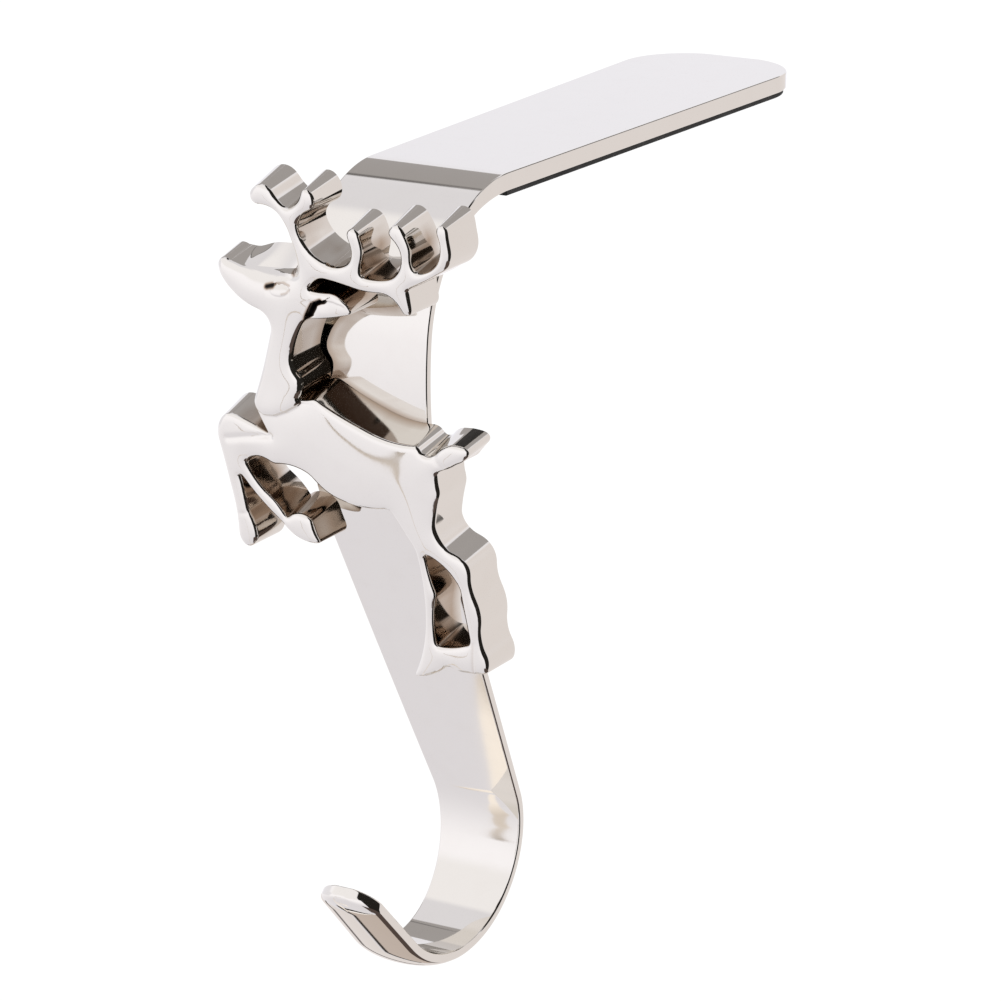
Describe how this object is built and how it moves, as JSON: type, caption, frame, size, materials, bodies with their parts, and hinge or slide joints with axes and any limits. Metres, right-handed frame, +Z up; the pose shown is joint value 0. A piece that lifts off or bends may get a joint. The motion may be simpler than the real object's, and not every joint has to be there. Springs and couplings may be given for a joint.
{
  "type": "mantel stocking holder",
  "caption": "Polished metal shelf hook with a weighted plate on a non-slip pad, a bowed strap ending in a J-hook, and a cast leaping reindeer on its front; holds a stocking on a mantelpiece.",
  "frame": {"origin": "underside of the pad, at the middle of the shelf plate", "axes": "+Z up, -Y from the shelf towards the room, +X to the right of someone facing the holder"},
  "size_m": [0.041, 0.1169, 0.1162],
  "materials": {
    "bracket": "polished nickel plate",
    "figure": "polished nickel plate",
    "pad": "matt black foam rubber",
    "screws": "zinc plate"
  },
  "bodies": {
    "root": {"bracket": "bracket", "reindeer_figure": "figure", "non_slip_pad": "pad", "fixing_screws": "screws"}
  },
  "joints": []
}
